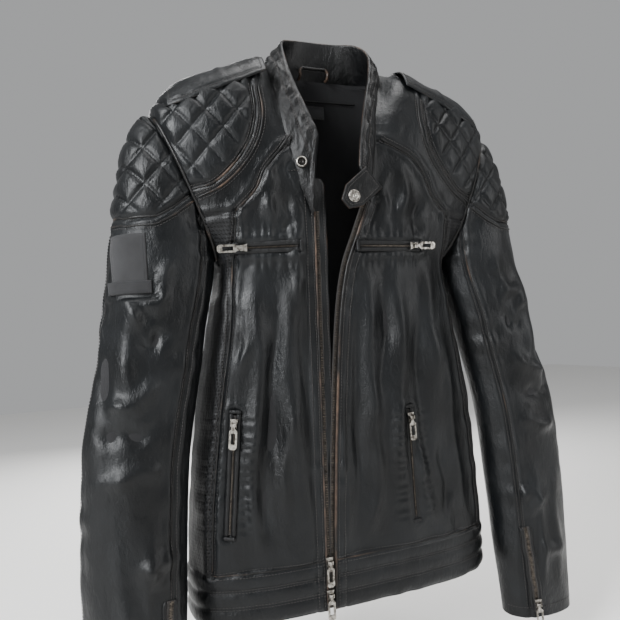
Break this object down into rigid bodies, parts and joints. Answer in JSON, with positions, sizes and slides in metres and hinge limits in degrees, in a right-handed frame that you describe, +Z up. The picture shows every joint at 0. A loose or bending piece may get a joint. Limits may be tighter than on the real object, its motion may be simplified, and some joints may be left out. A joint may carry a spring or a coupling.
{
  "type": "leather riding jacket",
  "caption": "Black leather riding jacket with quilted shoulders, zipped chest and hand pockets, stand collar with a snap tab, and sleeves that lift at the shoulder",
  "frame": {"origin": "bearing point of the hanging loop at the inside back of the neck", "axes": "+Z up, the front of the jacket faces -Y, the wearer's left is +X"},
  "size_m": [0.6282, 0.1712, 0.7816],
  "materials": {
    "black_leather": "semi-gloss, worn at the edges",
    "perforated_leather": "matt, perforated",
    "lining_fabric": "woven, matt",
    "zip_tape": "woven tape with metal teeth",
    "nickel": "antique nickel",
    "label_fabric": "satin weave",
    "patch_fabric": "embroidered"
  },
  "bodies": {
    "root": {"chest_zip_right": "zip_tape", "chest_zip_left": "zip_tape", "hand_zip_right": "zip_tape", "hand_zip_left": "zip_tape", "front_panel_right": "black_leather", "front_yoke_right": "black_leather", "shoulder_quilt_right": "black_leather", "side_gusset_right": "perforated_leather", "waistband_right": "black_leather", "front_panel_left": "black_leather", "front_yoke_left": "black_leather", "shoulder_quilt_left": "black_leather", "side_gusset_left": "perforated_leather", "waistband_left": "black_leather", "back_yoke": "black_leather", "back_panel": "black_leather", "waistband_back": "black_leather", "shoulder_flap_right": "black_leather", "shoulder_flap_left": "black_leather", "body_lining": "lining_fabric", "wind_flap": "black_leather", "main_zip_right": "zip_tape", "main_zip_left": "zip_tape", "chest_pocket_bags": "lining_fabric", "hand_pocket_bags": "lining_fabric", "collar_outer": "black_leather", "collar_inner": "black_leather", "snap_socket": "nickel", "hanging_loop": "black_leather", "neck_label": "label_fabric"},
    "main_upper_slider_body": {"main_upper_slider": "nickel"},
    "main_upper_pull_body": {"main_upper_pull": "nickel"},
    "main_lower_slider_body": {"main_lower_slider": "nickel"},
    "main_lower_pull_body": {"main_lower_pull": "nickel"},
    "chest_right_slider_body": {"chest_zip_right_slider": "nickel"},
    "chest_right_pull_body": {"chest_zip_right_pull": "nickel"},
    "chest_left_slider_body": {"chest_zip_left_slider": "nickel"},
    "chest_left_pull_body": {"chest_zip_left_pull": "nickel"},
    "hand_right_slider_body": {"hand_zip_right_slider": "nickel"},
    "hand_right_pull_body": {"hand_zip_right_pull": "nickel"},
    "hand_left_slider_body": {"hand_zip_left_slider": "nickel"},
    "hand_left_pull_body": {"hand_zip_left_pull": "nickel"},
    "cuff_right_slider_body": {"cuff_zip_right_slider": "nickel"},
    "cuff_right_pull_body": {"cuff_zip_right_pull": "nickel"},
    "cuff_left_slider_body": {"cuff_zip_left_slider": "nickel"},
    "cuff_left_pull_body": {"cuff_zip_left_pull": "nickel"},
    "collar_tab_body": {"collar_tab": "black_leather", "tab_snap_cap": "nickel"},
    "sleeve_right": {"sleeve_cap_right": "black_leather", "sleeve_front_right": "black_leather", "sleeve_back_right": "black_leather", "sleeve_lining_right": "lining_fabric", "cuff_zip_right": "zip_tape", "sleeve_patch": "patch_fabric"},
    "sleeve_left": {"sleeve_cap_left": "black_leather", "sleeve_front_left": "black_leather", "sleeve_back_left": "black_leather", "sleeve_lining_left": "lining_fabric", "cuff_zip_left": "zip_tape"}
  },
  "joints": [
    {"name": "sleeve_left_lift", "type": "hinge", "parent": "root", "child": "sleeve_left", "pos_m": [0.222, -0.026, -0.088], "axis": [0, -1, 0], "range_deg": [0, 45]},
    {"name": "sleeve_right_lift", "type": "hinge", "parent": "root", "child": "sleeve_right", "pos_m": [-0.222, -0.026, -0.088], "axis": [0, 1, 0], "range_deg": [0, 45]},
    {"name": "main_upper_slide", "type": "slide", "parent": "root", "child": "main_upper_slider_body", "axis": [0.0083, -0.0416, 0.9991], "range_m": [0, 0.395]},
    {"name": "main_upper_pull_hinge", "type": "hinge", "parent": "main_upper_slider_body", "child": "main_upper_pull_body", "pos_m": [-0.04727, -0.07763, -0.61222], "axis": [-1, -0.0003, 0.0083], "range_deg": [0, 140]},
    {"name": "main_lower_slide", "type": "slide", "parent": "root", "child": "main_lower_slider_body", "axis": [0.0083, -0.0416, 0.9991], "range_m": [0, 0.004]},
    {"name": "main_lower_pull_hinge", "type": "hinge", "parent": "main_lower_slider_body", "child": "main_lower_pull_body", "pos_m": [-0.04759, -0.07605, -0.65022], "axis": [-1, -0.0003, 0.0083], "range_deg": [0, 140]},
    {"name": "chest_right_slide", "type": "slide", "parent": "root", "child": "chest_right_slider_body", "axis": [0.9682, -0.2502, 0], "range_m": [0, 0.055]},
    {"name": "chest_right_pull_hinge", "type": "hinge", "parent": "chest_right_slider_body", "child": "chest_right_pull_body", "pos_m": [-0.13265, -0.08052, -0.24782], "axis": [-0.0373, -0.1442, 0.9888], "range_deg": [0, 140]},
    {"name": "chest_left_slide", "type": "slide", "parent": "root", "child": "chest_left_slider_body", "axis": [-0.9985, -0.0546, 0], "range_m": [0, 0.066]},
    {"name": "chest_left_pull_hinge", "type": "hinge", "parent": "chest_left_slider_body", "child": "chest_left_pull_body", "pos_m": [0.08331, -0.09188, -0.24729], "axis": [-0.0029, 0.0522, -0.9986], "range_deg": [0, 140]},
    {"name": "hand_right_slide", "type": "slide", "parent": "root", "child": "hand_right_slider_body", "axis": [-0.0905, 0.0422, -0.995], "range_m": [0, 0.115]},
    {"name": "hand_right_pull_hinge", "type": "hinge", "parent": "hand_right_slider_body", "child": "hand_right_pull_body", "pos_m": [-0.15097, -0.07273, -0.44297], "axis": [-0.9151, 0.3907, 0.0998], "range_deg": [0, 140]},
    {"name": "hand_left_slide", "type": "slide", "parent": "root", "child": "hand_left_slider_body", "axis": [0.0375, 0.0415, -0.9984], "range_m": [0, 0.115]},
    {"name": "hand_left_pull_hinge", "type": "hinge", "parent": "hand_left_slider_body", "child": "hand_left_pull_body", "pos_m": [0.06761, -0.08449, -0.4562], "axis": [-0.998, -0.0485, -0.0395], "range_deg": [0, 140]},
    {"name": "cuff_right_slide", "type": "slide", "parent": "sleeve_right", "child": "cuff_right_slider_body", "axis": [0.0273, -0.0227, 0.9994], "range_m": [0, 0.09]},
    {"name": "cuff_right_pull_hinge", "type": "hinge", "parent": "cuff_right_slider_body", "child": "cuff_right_pull_body", "pos_m": [-0.23609, -0.08804, -0.71512], "axis": [-0.9576, -0.2873, 0.0196], "range_deg": [0, 140]},
    {"name": "cuff_left_slide", "type": "slide", "parent": "sleeve_left", "child": "cuff_left_slider_body", "axis": [-0.0273, -0.0227, 0.9994], "range_m": [0, 0.09]},
    {"name": "cuff_left_pull_hinge", "type": "hinge", "parent": "cuff_left_slider_body", "child": "cuff_left_pull_body", "pos_m": [0.23609, -0.08804, -0.71512], "axis": [-0.9576, 0.2873, -0.0196], "range_deg": [0, 140]},
    {"name": "collar_tab_hinge", "type": "hinge", "parent": "root", "child": "collar_tab_body", "pos_m": [0.025, -0.104, -0.168], "axis": [-0.6419, 0, 0.7668], "range_deg": [0, 95]}
  ]
}
